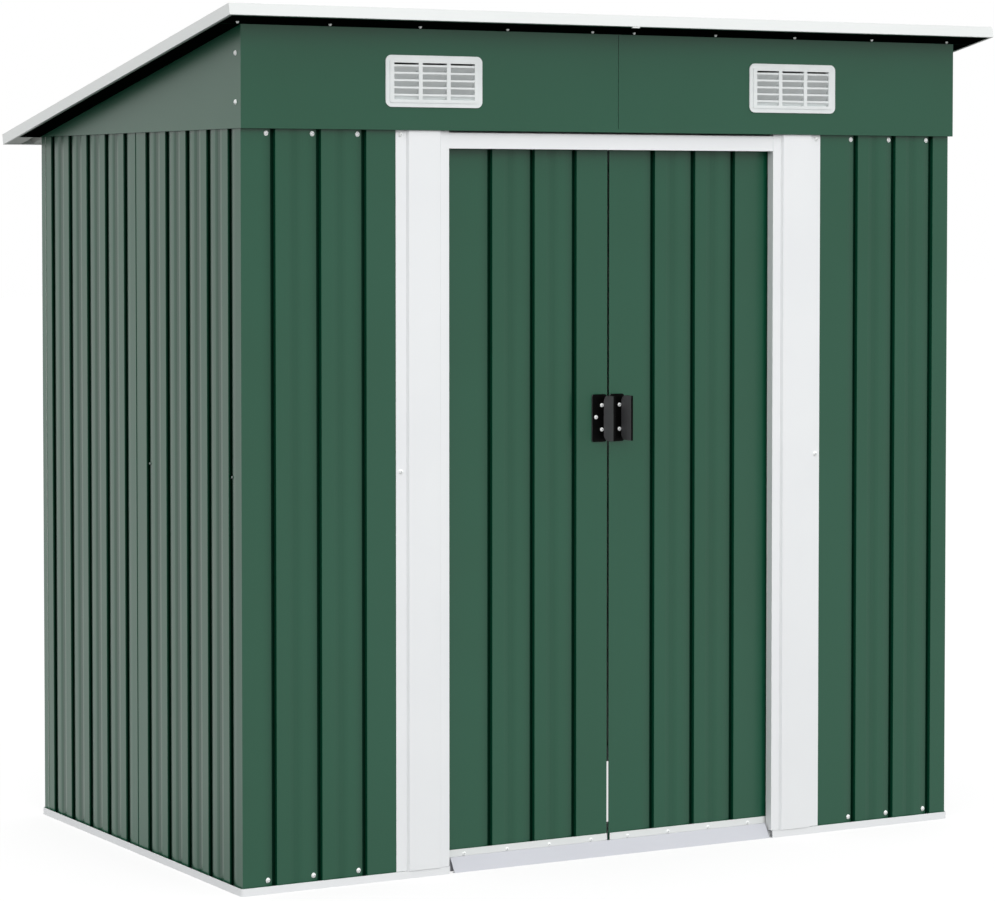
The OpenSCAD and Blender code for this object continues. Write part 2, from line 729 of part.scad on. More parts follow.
// Channel that a door's sheet stands in: a lip in front of the sheet, a web under it and a box behind it
module door_bottom_rail(u0, u1) {
    top = door_bottom + door_rail_h;
    rear = rail_in - sheet_t;
    path = [[door_in, top], [rear, top], [rear, door_bottom], [door_lip_in, door_bottom],
            [door_lip_in, door_lip_top]];
    color(white) wall(0, half_d) along(u0 + sheet_t, u1 - sheet_t) polygon(strip(path));
}
module left_door_bottom_rail() { door_bottom_rail(-leaf_far, -leaf_near); }
module right_door_bottom_rail() { door_bottom_rail(leaf_near, leaf_far); }

// Two hooks on the upper track's ledge and two shoes over the lower track's rib
module door_sliders(u0, u1) {
    hook_z = ledge_z + sheet_t + slider_gap;
    shoe_top = door_bottom - sheet_t;
    slot = rib_w / 2 + slider_gap;
    hook = [[door_in, door_rail_top], [stem_in, door_rail_top], [stem_in, hook_z], [hook_in, hook_z],
            [hook_in, hook_z + hook_h], [door_in, hook_z + hook_h]];
    shoe = [[door_in, shoe_top], [door_in, shoe_bottom], [rib_mid - slot, shoe_bottom],
            [rib_mid - slot, rib_h + rib_room], [rib_mid + slot, rib_h + rib_room],
            [rib_mid + slot, shoe_bottom], [rail_in, shoe_bottom], [rail_in, shoe_top]];
    color(black) wall(0, half_d)
        for (u = [u0 + slider_inset, u1 - slider_inset]) {
            along(u - slider_len / 2, u + slider_len / 2) polygon(hook);
            along(u - slider_len / 2, u + slider_len / 2) polygon(shoe);
        }
}
module left_door_sliders() { door_sliders(-leaf_far, -leaf_near); }
module right_door_sliders() { door_sliders(leaf_near, leaf_far); }

// Plate with an upright fin near its right edge; u0 is the plate's left edge
module door_handle(u0) {
    root = handle_t / 2;
    corner = root + fin_r;
    color(black) translate([u0 + handle_w / 2, door_back - half_d, handle_z]) {
        rotate([90, 0, 0]) round_block(handle_w / 2, handle_h / 2, handle_r, 0, handle_t);
        translate([handle_w / 2 - fin_edge - fin_t, 0, 0]) rotate([90, 0, 90]) linear_extrude(fin_t) {
            translate([-fin_reach, -fin_h / 2]) square([fin_reach - corner, fin_h]);
            translate([-fin_reach, fin_r - fin_h / 2]) square([fin_reach - root, fin_h - 2 * fin_r]);
            for (z = [-1, 1])
                translate([-corner, z * (fin_h / 2 - fin_r)]) circle(fin_r);
        }
    }
}
module left_door_handle() { door_handle(-leaf_near - left_handle_inset - handle_w); }
module right_door_handle() { door_handle(leaf_near + right_handle_inset); }

base_rail_front();
base_rail_rear();
base_rail_left();
base_rail_right();
door_threshold();
lower_door_track();
front_left_panel();
front_right_panel();
left_wall_front_panel();
left_wall_rear_panel();
right_wall_front_panel();
right_wall_rear_panel();
rear_wall_left_panel();
rear_wall_middle_panel();
rear_wall_right_panel();
wall_mid_rails();
wall_top_rails();
left_door_jamb();
right_door_jamb();
door_header();
front_fascia_left();
front_fascia_right();
left_gable();
right_gable();
left_vent();
right_vent();
roof_panel_left();
roof_panel_middle();
roof_panel_right();
roof_beams();
roof_trim_front();
roof_trim_rear();
roof_trim_left();
roof_trim_right();
left_door_panel();
left_door_top_rail();
left_door_bottom_rail();
left_door_sliders();
left_door_handle();
right_door_panel();
right_door_top_rail();
right_door_bottom_rail();
right_door_sliders();
right_door_handle();
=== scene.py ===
"""Looks of a metal storage shed: painted ribbed sheet, white folded trim, moulded fittings and screws.

Metres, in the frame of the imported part: +Z up, the doors face -Y.
"""
import math

import bpy
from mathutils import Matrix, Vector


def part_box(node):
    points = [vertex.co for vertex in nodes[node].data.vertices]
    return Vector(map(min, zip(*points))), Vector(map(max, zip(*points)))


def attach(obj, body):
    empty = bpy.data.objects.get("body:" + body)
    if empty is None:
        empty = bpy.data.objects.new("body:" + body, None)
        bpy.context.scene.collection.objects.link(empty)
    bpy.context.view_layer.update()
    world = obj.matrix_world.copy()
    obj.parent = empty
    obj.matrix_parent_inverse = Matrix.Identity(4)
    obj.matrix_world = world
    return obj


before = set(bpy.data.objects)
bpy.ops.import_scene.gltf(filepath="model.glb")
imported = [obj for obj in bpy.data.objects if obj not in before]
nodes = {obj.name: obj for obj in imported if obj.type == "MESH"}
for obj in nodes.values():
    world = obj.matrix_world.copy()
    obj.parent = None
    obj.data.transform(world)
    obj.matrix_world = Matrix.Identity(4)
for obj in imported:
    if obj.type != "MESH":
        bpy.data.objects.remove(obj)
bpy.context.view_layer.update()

MM = 0.001

# The photograph's frame and the camera solved from the corners of the shed in it
IMAGE_W = 995
IMAGE_H = 901
SENSOR = 36.0
FOCAL_PIXELS = 3372.7
CENTRE_ROW = 336.6
CAMERA_PLACE = (-3.7975, -6.7249, 1.4149)
CAMERA_YAW = 0.5154
CAMERA_PITCH = -0.04


def add(tree, kind, inputs=None, **settings):
    """Adds a node; inputs maps a socket's name or number to a value or to another node's output."""
    made = tree.nodes.new(kind)
    for key, value in settings.items():
        setattr(made, key, value)
    for key, value in (inputs or {}).items():
        if isinstance(value, bpy.types.NodeSocket):
            tree.links.new(value, made.inputs[key])
        else:
            made.inputs[key].default_value = value
    return made


def linear(hex_colour):
    """Linear RGBA of an sRGB hex colour."""
    parts = [int(hex_colour[i:i + 2], 16) / 255 for i in (1, 3, 5)]
    return (*[p / 12.92 if p <= 0.04045 else ((p + 0.055) / 1.055) ** 2.4 for p in parts], 1.0)


def per_metre(size_mm):
    """Scale of a texture whose features are about size_mm across."""
    return 1 / (size_mm * MM)


def new_material(name):
    """A material with only a Principled shader and its output."""
    material = bpy.data.materials.new(name)
    material.use_nodes = True
    tree = material.node_tree
    tree.nodes.clear()
    shader = add(tree, "ShaderNodeBsdfPrincipled")
    add(tree, "ShaderNodeOutputMaterial", {"Surface": shader.outputs["BSDF"]})
    return material, tree, shader


# Camera

camera_data = bpy.data.cameras.new("photo_camera")
camera_data.sensor_fit = "HORIZONTAL"
camera_data.sensor_width = SENSOR
camera_data.lens = FOCAL_PIXELS / IMAGE_W * SENSOR
camera_data.shift_y = (CENTRE_ROW - IMAGE_H / 2) / IMAGE_W
camera_data.clip_end = 200
camera = bpy.data.objects.new("photo_camera", camera_data)
camera.location = CAMERA_PLACE
camera.rotation_euler = (math.pi / 2 + CAMERA_PITCH, 0, -CAMERA_YAW)
bpy.context.scene.collection.objects.link(camera)
bpy.context.scene.camera = camera


# Materials

def painted_sheet(name, inward, face, shade_depth):
    """Coil-coated steel sheet: a glossy deep green polyester coat outside, a pale matt back coat inside.

    The coat is smooth with a faint orange peel, and the thin sheet between the folds is never quite flat,
    so reflections wander a little. The side that faces inward shows the back coat. Outer faces that look
    down, the flanges under the eaves, are painted shade: matt, nearly black and without reflection. Down
    into a groove the coat is painted with shade too, darker and without reflection, over the depth given
    by the last argument. Inward is the direction into the shed, and face is how far along it the outer
    face lies.
    """
    material, tree, shader = new_material(name)
    place = add(tree, "ShaderNodeTexCoord").outputs["Object"]
    normal = add(tree, "ShaderNodeNewGeometry").outputs["True Normal"]
    # Facing is above zero on the sheet's inner side; the margins leave out its cut edges
    facing = add(tree, "ShaderNodeVectorMath", {0: normal, 1: inward}, operation="DOT_PRODUCT")
    inside = add(tree, "ShaderNodeMath", {0: facing.outputs["Value"], 1: 0.1}, operation="GREATER_THAN")
    outside = add(tree, "ShaderNodeMath", {0: facing.outputs["Value"], 1: -0.08}, operation="LESS_THAN")
    # Painted shade in the grooves: the coat turns near black, and loses its reflection, as it goes down into
    # them
    depth = add(tree, "ShaderNodeVectorMath", {0: place, 1: inward}, operation="DOT_PRODUCT")
    deep = add(tree, "ShaderNodeMapRange", {"Value": depth.outputs["Value"], "From Min": face,
                                            "From Max": face + shade_depth})
    groove = add(tree, "ShaderNodeMath", {0: deep.outputs["Result"], 1: outside.outputs[0]},
                 operation="MULTIPLY")
    cloud = add(tree, "ShaderNodeTexNoise", {"Vector": place, "Scale": per_metre(350), "Detail": 3.0})
    plain = add(tree, "ShaderNodeMix", {"Factor": cloud.outputs["Fac"], "A": linear("#0B4931"),
                                        "B": linear("#11513A")}, data_type="RGBA")
    green = add(tree, "ShaderNodeMix", {"Factor": groove.outputs[0], "A": plain.outputs["Result"],
                                        "B": linear("#031C12")}, data_type="RGBA")
    back = add(tree, "ShaderNodeMix", {"Factor": cloud.outputs["Fac"], "A": linear("#BFC3BE"),
                                       "B": linear("#CDD0CB")}, data_type="RGBA")
    coats = add(tree, "ShaderNodeMix", {"Factor": inside.outputs[0], "A": green.outputs["Result"],
                                        "B": back.outputs["Result"]}, data_type="RGBA")
    gloss = add(tree, "ShaderNodeMapRange", {"Value": cloud.outputs["Fac"], "To Min": 0.26, "To Max": 0.36})
    rough = add(tree, "ShaderNodeMix", {"Factor": inside.outputs[0], "A": gloss.outputs["Result"],
                                        "B": 0.55}, data_type="FLOAT")
    # Painted shade under the eaves: outer faces that look down, such as the flanges, turn nearly black
    height = add(tree, "ShaderNodeSeparateXYZ", {"Vector": normal}).outputs["Z"]
    down = add(tree, "ShaderNodeMath", {0: height, 1: -0.5}, operation="LESS_THAN")
    flange = add(tree, "ShaderNodeMath", {0: down.outputs[0], 1: inside.outputs[0]}, operation="SUBTRACT",
                 use_clamp=True)
    colour = add(tree, "ShaderNodeMix", {"Factor": flange.outputs[0], "A": coats.outputs["Result"],
                                         "B": linear("#070B09")}, data_type="RGBA")
    # Both painted shades have no reflection: the specular level falls to zero in them
    painted_shade = add(tree, "ShaderNodeMath", {0: flange.outputs[0], 1: groove.outputs[0]}, operation="MAXIMUM")
    shine = add(tree, "ShaderNodeMix", {"Factor": painted_shade.outputs[0], "A": 0.5, "B": 0.0}, data_type="FLOAT")
    long_waves = add(tree, "ShaderNodeMapping", {"Vector": place, "Scale": (1.0, 1.0, 0.22)})
    waves = add(tree, "ShaderNodeTexNoise", {"Vector": long_waves.outputs["Vector"], "Scale": per_metre(160),
                                             "Detail": 1.0})
    peel = add(tree, "ShaderNodeTexNoise", {"Vector": place, "Scale": per_metre(3), "Detail": 1.0})
    soft = add(tree, "ShaderNodeBump", {"Height": waves.outputs["Fac"], "Distance": 1.2 * MM,
                                        "Strength": 0.6})
    bump = add(tree, "ShaderNodeBump", {"Height": peel.outputs["Fac"], "Distance": 0.03 * MM,
                                        "Strength": 0.5, "Normal": soft.outputs["Normal"]})
    tree.links.new(colour.outputs["Result"], shader.inputs["Base Color"])
    tree.links.new(rough.outputs["Result"], shader.inputs["Roughness"])
    tree.links.new(shine.outputs["Result"], shader.inputs["Specular IOR Level"])
    tree.links.new(bump.outputs["Normal"], shader.inputs["Normal"])
    shader.inputs["IOR"].default_value = 1.6
    return material


def white_steel(name, dark, pale):
    """Coil-coated folded steel in white: satin, slightly cool, with a faint orange peel.

    Its colour drifts between the two given tones.
    """
    material, tree, shader = new_material(name)
    place = add(tree, "ShaderNodeTexCoord").outputs["Object"]
    cloud = add(tree, "ShaderNodeTexNoise", {"Vector": place, "Scale": per_metre(220), "Detail": 3.0})
    colour = add(tree, "ShaderNodeMix", {"Factor": cloud.outputs["Fac"], "A": linear(dark),
                                         "B": linear(pale)}, data_type="RGBA")
    gloss = add(tree, "ShaderNodeMapRange", {"Value": cloud.outputs["Fac"], "To Min": 0.34, "To Max": 0.46})
    peel = add(tree, "ShaderNodeTexNoise", {"Vector": place, "Scale": per_metre(3), "Detail": 1.0})
    bump = add(tree, "ShaderNodeBump", {"Height": peel.outputs["Fac"], "Distance": 0.03 * MM,
                                        "Strength": 0.5})
    tree.links.new(colour.outputs["Result"], shader.inputs["Base Color"])
    tree.links.new(gloss.outputs["Result"], shader.inputs["Roughness"])
    tree.links.new(bump.outputs["Normal"], shader.inputs["Normal"])
    shader.inputs["IOR"].default_value = 1.5
    return material


def galvanised_steel():
    """Hot-dip galvanised steel: bright grey zinc with spangle, 9 mm crystals that differ in shine."""
    material, tree, shader = new_material("galvanised_steel")
    place = add(tree, "ShaderNodeTexCoord").outputs["Object"]
    spangle = add(tree, "ShaderNodeTexVoronoi", {"Vector": place, "Scale": per_metre(9)})
    shade = add(tree, "ShaderNodeSeparateColor", {"Color": spangle.outputs["Color"]})
    colour = add(tree, "ShaderNodeMix", {"Factor": shade.outputs["Red"], "A": linear("#B3B8BB"),
                                         "B": linear("#D6DADC")}, data_type="RGBA")
    gloss = add(tree, "ShaderNodeMapRange", {"Value": shade.outputs["Green"], "To Min": 0.3, "To Max": 0.48})
    tree.links.new(colour.outputs["Result"], shader.inputs["Base Color"])
    tree.links.new(gloss.outputs["Result"], shader.inputs["Roughness"])
    shader.inputs["Metallic"].default_value = 1.0
    return material


def moulded_plastic(name, front, side, shine):
    """Injection-moulded plastic with the fine grain of the mould's eroded surface.

    The grain is drawn 1.5 mm across, coarser than it is, so that it shows. Faces to the front take the first
    colour and faces to the left and right the second; a paler second colour is painted light, for the light
    that falls on the sides. Shine is the strength of its reflections.
    """
    material, tree, shader = new_material(name)
    place = add(tree, "ShaderNodeTexCoord").outputs["Object"]
    normal = add(tree, "ShaderNodeNewGeometry").outputs["True Normal"]
    across = add(tree, "ShaderNodeSeparateXYZ", {"Vector": normal}).outputs["X"]
    sideways = add(tree, "ShaderNodeMath", {0: across}, operation="ABSOLUTE")
    # Painted light: faces to the left and right take the second colour, which stands for the light on the
    # sides
    lit_side = add(tree, "ShaderNodeMath", {0: sideways.outputs[0], 1: 0.5}, operation="GREATER_THAN")
    cloud = add(tree, "ShaderNodeTexNoise", {"Vector": place, "Scale": per_metre(40), "Detail": 2.0})
    plain = add(tree, "ShaderNodeMix", {"Factor": lit_side.outputs[0], "A": linear(front), "B": linear(side)},
                data_type="RGBA")
    value = add(tree, "ShaderNodeMapRange", {"Value": cloud.outputs["Fac"], "To Min": 0.92, "To Max": 1.08})
    colour = add(tree, "ShaderNodeHueSaturation", {"Color": plain.outputs["Result"],
                                                   "Value": value.outputs["Result"]})
    gloss = add(tree, "ShaderNodeMapRange", {"Value": cloud.outputs["Fac"], "To Min": 0.36, "To Max": 0.48})
    grain = add(tree, "ShaderNodeTexNoise", {"Vector": place, "Scale": per_metre(1.5), "Detail": 2.0})
    bump = add(tree, "ShaderNodeBump", {"Height": grain.outputs["Fac"], "Distance": 0.08 * MM,
                                        "Strength": 0.6})
    tree.links.new(colour.outputs["Color"], shader.inputs["Base Color"])
    tree.links.new(gloss.outputs["Result"], shader.inputs["Roughness"])
    tree.links.new(bump.outputs["Normal"], shader.inputs["Normal"])
    shader.inputs["Specular IOR Level"].default_value = shine
    return material


def coated_screw(name, coat, recess):
    """Colour-coated pan-head screw in a satin coat; a darker cross on its crown is the painted shade of its
    recess.
    """
    material, tree, shader = new_material(name)
    local = add(tree, "ShaderNodeAttribute", attribute_name="head_place").outputs["Vector"]
    parts = add(tree, "ShaderNodeSeparateXYZ", {"Vector": local})
    # Painted shade: a cross on the crown takes the second colour, for the shade in the recess
    arms = []
    for along, across in (("X", "Y"), ("Y", "X")):
        reach = add(tree, "ShaderNodeMath", {0: parts.outputs[along]}, operation="ABSOLUTE")
        width = add(tree, "ShaderNodeMath", {0: parts.outputs[across]}, operation="ABSOLUTE")
        short = add(tree, "ShaderNodeMath", {0: reach.outputs[0], 1: 0.5}, operation="LESS_THAN")
        slim = add(tree, "ShaderNodeMath", {0: width.outputs[0], 1: 0.13}, operation="LESS_THAN")
        arm = add(tree, "ShaderNodeMath", {0: short.outputs[0], 1: slim.outputs[0]}, operation="MULTIPLY")
        arms.append(arm)
    cross = add(tree, "ShaderNodeMath", {0: arms[0].outputs[0], 1: arms[1].outputs[0]}, operation="MAXIMUM")
    colour = add(tree, "ShaderNodeMix", {"Factor": cross.outputs[0], "A": linear(coat),
                                         "B": linear(recess)}, data_type="RGBA")
    tree.links.new(colour.outputs["Result"], shader.inputs["Base Color"])
    shader.inputs["Roughness"].default_value = 0.32
    return material


# Directions from each face into the shed
FRONT = (0, 1, 0)
REAR = (0, -1, 0)
LEFT = (1, 0, 0)
RIGHT = (-1, 0, 0)
ROOF = (0, 0, -1)
# Outer faces of the walls and the doors
wall_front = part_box("front_left_panel")[0].y
wall_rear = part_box("rear_wall_middle_panel")[1].y
wall_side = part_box("right_wall_front_panel")[1].x
door_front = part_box("left_door_panel")[0].y
# Depths over which the painted shade in the grooves darkens the coat: slowly in the front's grooves, soon in
# those of the other walls
SLOW_GROOVE_SHADE = 14 * MM
QUICK_GROOVE_SHADE = 4 * MM
sheet_front = painted_sheet("green_coil_coat_front", FRONT, wall_front, SLOW_GROOVE_SHADE)
sheet_door = painted_sheet("green_coil_coat_door", FRONT, door_front, SLOW_GROOVE_SHADE)
sheet_rear = painted_sheet("green_coil_coat_rear", REAR, -wall_rear, QUICK_GROOVE_SHADE)
sheet_left = painted_sheet("green_coil_coat_left", LEFT, -wall_side, QUICK_GROOVE_SHADE)
sheet_right = painted_sheet("green_coil_coat_right", RIGHT, -wall_side, QUICK_GROOVE_SHADE)
# All of the roof lies above its face, the ground, so that its valleys get no painted shade and keep the
# plain coat
sheet_roof = painted_sheet("green_coil_coat_roof", ROOF, 0, QUICK_GROOVE_SHADE)
white_coat = white_steel("white_coil_coated_steel", "#E4E6E8", "#ECEEEF")
trim_coat = white_steel("off_white_coil_coated_steel", "#DADDDC", "#E2E5E4")
step_coat = white_steel("pale_grey_coil_coated_steel", "#C0C2C9", "#C8CAD0")
zinc = galvanised_steel()
vent_plastic = moulded_plastic("white_moulded_plastic", "#DFE3E3", "#DFE3E3", 0.5)
# The grey on the handle's faces to the left and right is painted light; the faces to the front stay black
handle_plastic = moulded_plastic("black_moulded_plastic", "#030303", "#606062", 0.08)
# The second colour of each screw is the painted shade in its cross recess
screw_white = coated_screw("white_coated_screw", "#F4F6F5", "#A9AEAF")
screw_green = coated_screw("grey_green_coated_screw", "#75817B", "#535F59")

FINISHES = {
    sheet_front: ["front_left_panel", "front_right_panel", "front_fascia_left", "front_fascia_right"],
    sheet_door: ["left_door_panel", "right_door_panel"],
    sheet_rear: ["rear_wall_left_panel", "rear_wall_middle_panel", "rear_wall_right_panel"],
    sheet_left: ["left_wall_front_panel", "left_wall_rear_panel", "left_gable"],
    sheet_right: ["right_wall_front_panel", "right_wall_rear_panel", "right_gable"],
    sheet_roof: ["roof_panel_left", "roof_panel_middle", "roof_panel_right"],
    white_coat: ["left_door_jamb", "right_door_jamb", "door_header", "base_rail_front", "base_rail_rear",
                 "base_rail_left", "base_rail_right"],
    trim_coat: ["roof_trim_front", "roof_trim_rear", "roof_trim_left", "roof_trim_right",
                "left_door_bottom_rail", "right_door_bottom_rail"],
    step_coat: ["door_threshold"],
    zinc: ["lower_door_track", "wall_mid_rails", "wall_top_rails", "roof_beams", "left_door_top_rail",
           "right_door_top_rail"],
    vent_plastic: ["left_vent", "right_vent"],
    handle_plastic: ["left_door_sliders", "right_door_sliders", "left_door_handle", "right_door_handle"],
}
for material, names in FINISHES.items():
    for name in names:
        mesh = nodes[name].data
        mesh.materials.clear()
        mesh.materials.append(material)


# Stage: a pale floor, white surroundings, an even sky and two soft lamps

# Floor: half its width, the colour of the light that it bounces, and the share of plain white in its look
FLOOR_HALF = 40.0
FLOOR_BOUNCE = "#5C5C5C"
FLOOR_CLEAR = 0.8
# Strength of the sky's light, and of the room in reflections, in front of the shed and behind it
SKY_LEVEL = 1.2
ROOM_AHEAD = 0.68
ROOM_BEHIND = 1.0
# Point that the lamps look at
MIDDLE = (0.0, 0.0, 0.9)


def room_level(tree, place):
    """Brightness of the room in reflections, a little dimmer in front of the shed than behind it."""
    depth = add(tree, "ShaderNodeSeparateXYZ", {"Vector": place}).outputs["Y"]
    level = add(tree, "ShaderNodeMapRange", {"Value": depth, "From Min": -1.0, "From Max": 1.0,
                                             "To Min": ROOM_AHEAD, "To Max": ROOM_BEHIND},
                interpolation_type="SMOOTHSTEP")
    return level.outputs["Result"]


def stage_material(name, colour, clear):
    """Matt ground that the camera and reflections see as white, apart from the shadow on it.

    Light that bounces off it takes the given colour, so that it doesn't fill the shade under the roof. Clear
    is the share of plain white in what is seen, and the rest keeps the shadow.
    """
    material = bpy.data.materials.new(name)
    material.use_nodes = True
    tree = material.node_tree
    tree.nodes.clear()
    path = add(tree, "ShaderNodeLightPath")
    seen = add(tree, "ShaderNodeMath", {0: path.outputs["Is Camera Ray"], 1: path.outputs["Is Glossy Ray"]},
               operation="MAXIMUM")
    seen = add(tree, "ShaderNodeMath", {0: seen.outputs[0], 1: path.outputs["Is Transmission Ray"]},
               operation="MAXIMUM")
    share = add(tree, "ShaderNodeMath", {0: seen.outputs[0], 1: clear}, operation="MULTIPLY")
    shade = add(tree, "ShaderNodeMix", {"Factor": seen.outputs[0], "A": linear(colour),
                                        "B": linear("#FFFFFF")}, data_type="RGBA")
    matt = add(tree, "ShaderNodeBsdfDiffuse", {"Color": shade.outputs["Result"]})
    room = room_level(tree, add(tree, "ShaderNodeNewGeometry").outputs["Position"])
    level = add(tree, "ShaderNodeMix", {"Factor": path.outputs["Is Glossy Ray"], "A": 1.0, "B": room},
                data_type="FLOAT")
    white = add(tree, "ShaderNodeEmission", {"Color": linear("#FFFFFF"),
                                             "Strength": level.outputs["Result"]})
    mix = add(tree, "ShaderNodeMixShader", {0: share.outputs[0], 1: matt.outputs[0], 2: white.outputs[0]})
    add(tree, "ShaderNodeOutputMaterial", {"Surface": mix.outputs[0]})
    return material


floor_mesh = bpy.data.meshes.new("floor")
floor_mesh.from_pydata([(-FLOOR_HALF, -FLOOR_HALF, 0), (FLOOR_HALF, -FLOOR_HALF, 0),
                        (FLOOR_HALF, FLOOR_HALF, 0), (-FLOOR_HALF, FLOOR_HALF, 0)], [], [(0, 1, 2, 3)])
floor_mesh.materials.append(stage_material("pale_floor", FLOOR_BOUNCE, FLOOR_CLEAR))
floor = bpy.data.objects.new("floor", floor_mesh)
bpy.context.scene.collection.objects.link(floor)


def studio_world():
    """An even sky that gives most of the light; the camera sees it as white, and reflections as the room."""
    world = bpy.data.worlds.new("studio")
    world.use_nodes = True
    tree = world.node_tree
    tree.nodes.clear()
    path = add(tree, "ShaderNodeLightPath")
    room = room_level(tree, add(tree, "ShaderNodeTexCoord").outputs["Generated"])
    lit = add(tree, "ShaderNodeMix", {"Factor": path.outputs["Is Glossy Ray"], "A": SKY_LEVEL, "B": room},
              data_type="FLOAT")
    clear = add(tree, "ShaderNodeMath", {0: path.outputs["Is Camera Ray"],
                                         1: path.outputs["Is Transmission Ray"]}, operation="MAXIMUM")
    level = add(tree, "ShaderNodeMix", {"Factor": clear.outputs[0], "A": lit.outputs["Result"], "B": 1.0},
                data_type="FLOAT")
    sky = add(tree, "ShaderNodeBackground", {"Color": linear("#FFFFFF"),
                                             "Strength": level.outputs["Result"]})
    add(tree, "ShaderNodeOutputWorld", {"Surface": sky.outputs[0]})
    return world


def soft_lamp(name, place, aim, size, power):
    """A square area lamp that looks at a point; glossy coats mirror the white room and not the lamp."""
    data = bpy.data.lights.new(name, "AREA")
    data.size = size
    data.energy = power
    lamp = bpy.data.objects.new(name, data)
    lamp.visible_glossy = False
    lamp.location = place
    back = [p - a for p, a in zip(place, aim)]
    flat = math.hypot(back[0], back[1])
    lamp.rotation_euler = (math.atan2(flat, back[2]), 0, math.atan2(back[0], -back[1]))
    bpy.context.scene.collection.objects.link(lamp)


bpy.context.scene.world = studio_world()
soft_lamp("left_softbox", (-6.0, 4.5, 3.5), MIDDLE, 6.0, 60)
soft_lamp("front_softbox", (-0.5, -10.0, 5.0), MIDDLE, 7.0, 450)

bpy.context.scene.view_settings.view_transform = "Standard"


# Screws: one tree places a pan-head screw on every marked point, square to the surface that it holds

HEAD_SIDES = 12


def screw_tree():
    """Geometry Nodes that put a washer and a domed head on each point, along the point's outward vector."""
    tree = bpy.data.node_groups.new("screws", "GeometryNodeTree")
    face = tree.interface
    face.new_socket("Geometry", in_out="INPUT", socket_type="NodeSocketGeometry")
    for name, value in (("Head Radius", 4.4 * MM), ("Head Height", 2.8 * MM), ("Washer Radius", 5.6 * MM),
                        ("Washer Thickness", 1.0 * MM)):
        socket = face.new_socket(name, in_out="INPUT", socket_type="NodeSocketFloat")
        socket.default_value = value
    face.new_socket("Seed", in_out="INPUT", socket_type="NodeSocketInt").default_value = 7
    face.new_socket("Material", in_out="INPUT", socket_type="NodeSocketMaterial")
    face.new_socket("Geometry", in_out="OUTPUT", socket_type="NodeSocketGeometry")
    given = add(tree, "NodeGroupInput").outputs

    def times(value, factor):
        return add(tree, "ShaderNodeMath", {0: value, 1: factor}, operation="MULTIPLY").outputs[0]

    def ring(low, high, depth, lift):
        cone = add(tree, "GeometryNodeMeshCone", {"Vertices": HEAD_SIDES, "Radius Bottom": low,
                                                  "Radius Top": high, "Depth": depth})
        up = add(tree, "ShaderNodeCombineXYZ", {"Z": lift})
        return add(tree, "GeometryNodeTransform", {"Geometry": cone.outputs["Mesh"],
                                                   "Translation": up.outputs[0]}).outputs[0]

    # A head is a steep skirt with a flatter crown on it
    radius, height = given["Head Radius"], given["Head Height"]
    skirt = times(height, 0.6)
    crown = times(height, 0.4)
    flat, thickness = given["Washer Radius"], given["Washer Thickness"]
    above = add(tree, "ShaderNodeMath", {0: thickness, 1: skirt}, operation="ADD").outputs[0]
    washer = ring(flat, times(flat, 0.93), thickness, 0.0)
    lower = ring(radius, times(radius, 0.84), skirt, thickness)
    upper = ring(times(radius, 0.84), times(radius, 0.5), crown, above)
    screw = add(tree, "GeometryNodeJoinGeometry")
    for part in (washer, lower, upper):
        tree.links.new(part, screw.inputs[0])
    inverse = add(tree, "ShaderNodeMath", {0: 1.0, 1: radius}, operation="DIVIDE").outputs[0]
    here = add(tree, "GeometryNodeInputPosition").outputs[0]
    local = add(tree, "ShaderNodeVectorMath", {0: here, "Scale": inverse}, operation="SCALE").outputs[0]
    marked = add(tree, "GeometryNodeStoreNamedAttribute",
                 {"Geometry": screw.outputs[0], "Name": "head_place", "Value": local},
                 data_type="FLOAT_VECTOR", domain="POINT").outputs[0]
    outward = add(tree, "GeometryNodeInputNamedAttribute", {"Name": "outward"},
                  data_type="FLOAT_VECTOR").outputs[0]
    turn = add(tree, "FunctionNodeAlignRotationToVector", {"Vector": outward}, axis="Z").outputs[0]
    spin = add(tree, "FunctionNodeRandomValue", {"Seed": given["Seed"], 2: 0.0, 3: math.tau},
               data_type="FLOAT").outputs[1]
    about = add(tree, "ShaderNodeCombineXYZ", {"Z": spin}).outputs[0]
    placed = add(tree, "GeometryNodeInstanceOnPoints", {"Points": given["Geometry"], "Instance": marked,
                                                        "Rotation": turn}).outputs[0]
    turned = add(tree, "GeometryNodeRotateInstances", {"Instances": placed, "Rotation": about}).outputs[0]
    real = add(tree, "GeometryNodeRealizeInstances", {"Geometry": turned}).outputs[0]
    done = add(tree, "GeometryNodeSetMaterial", {"Geometry": real, "Material": given["Material"]}).outputs[0]
    add(tree, "NodeGroupOutput", {"Geometry": done})
    return tree


def set_inputs(modifier, tree, **values):
    """Sets a modifier's inputs by their sockets' identifiers; a name's underscores stand for spaces."""
    for item in tree.interface.items_tree:
        if item.in_out == "INPUT" and item.name.replace(" ", "_") in values:
            modifier[item.identifier] = values[item.name.replace(" ", "_")]


SCREWS = screw_tree()


def fit_screws(name, body, coat, marks, **sizes):
    """One mesh of screws for a body; marks are pairs of a place and the direction it faces."""
    points = bpy.data.meshes.new(name)
    points.from_pydata([place for place, _ in marks], [], [])
    outward = points.attributes.new("outward", "FLOAT_VECTOR", "POINT")
    for i, (_, direction) in enumerate(marks):
        outward.data[i].vector = direction
    holder = bpy.data.objects.new(name + "_points", points)
    bpy.context.scene.collection.objects.link(holder)
    modifier = holder.modifiers.new("screws", "NODES")
    modifier.node_group = SCREWS
    set_inputs(modifier, SCREWS, Material=coat, **sizes)
    shown = holder.evaluated_get(bpy.context.evaluated_depsgraph_get())
    mesh = bpy.data.meshes.new_from_object(shown)
    bpy.data.objects.remove(holder)
    piece = bpy.data.objects.new(name, mesh)
    bpy.context.scene.collection.objects.link(piece)
    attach(piece, body)


